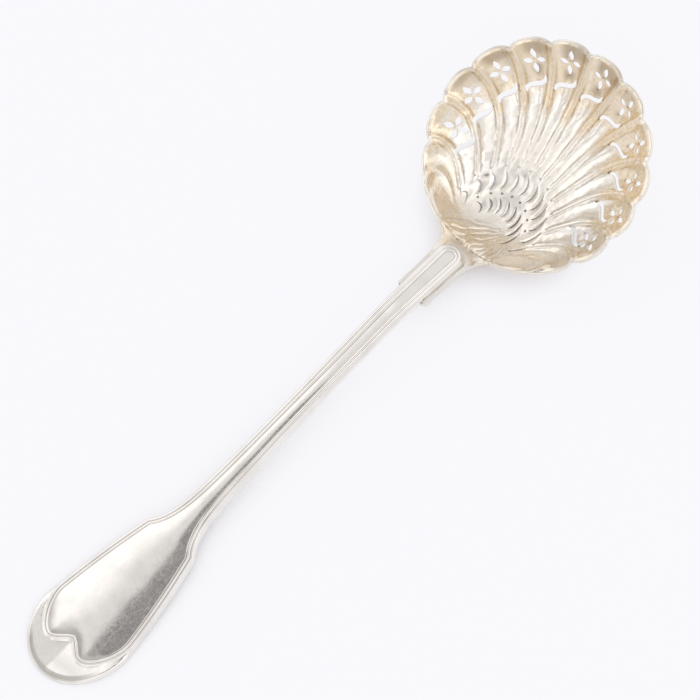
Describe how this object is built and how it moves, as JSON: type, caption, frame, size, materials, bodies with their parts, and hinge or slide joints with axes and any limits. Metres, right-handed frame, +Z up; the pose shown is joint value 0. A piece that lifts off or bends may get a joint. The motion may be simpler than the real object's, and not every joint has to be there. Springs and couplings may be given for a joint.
{
  "type": "sugar sifter spoon",
  "caption": "Silver sugar sifter spoon: round fluted shell bowl pierced with flowers, scrolls and slits, lapped and soldered under a shouldered handle with a thread border.",
  "frame": {"origin": "middle of the spoon's length and width, on the table it lies on", "axes": "+X along the spoon from handle tip to bowl, +Y to the left of that, +Z up out of the open bowl"},
  "size_m": [0.2114, 0.0612, 0.0315],
  "materials": {
    "handle_silver": "polished silver with fine wear scratches",
    "bowl_gilt": "worn gilding over polished silver",
    "solder": "dull silver solder"
  },
  "bodies": {
    "root": {"handle": "handle_silver", "bowl": "bowl_gilt", "solder_joint": "solder"}
  },
  "joints": []
}
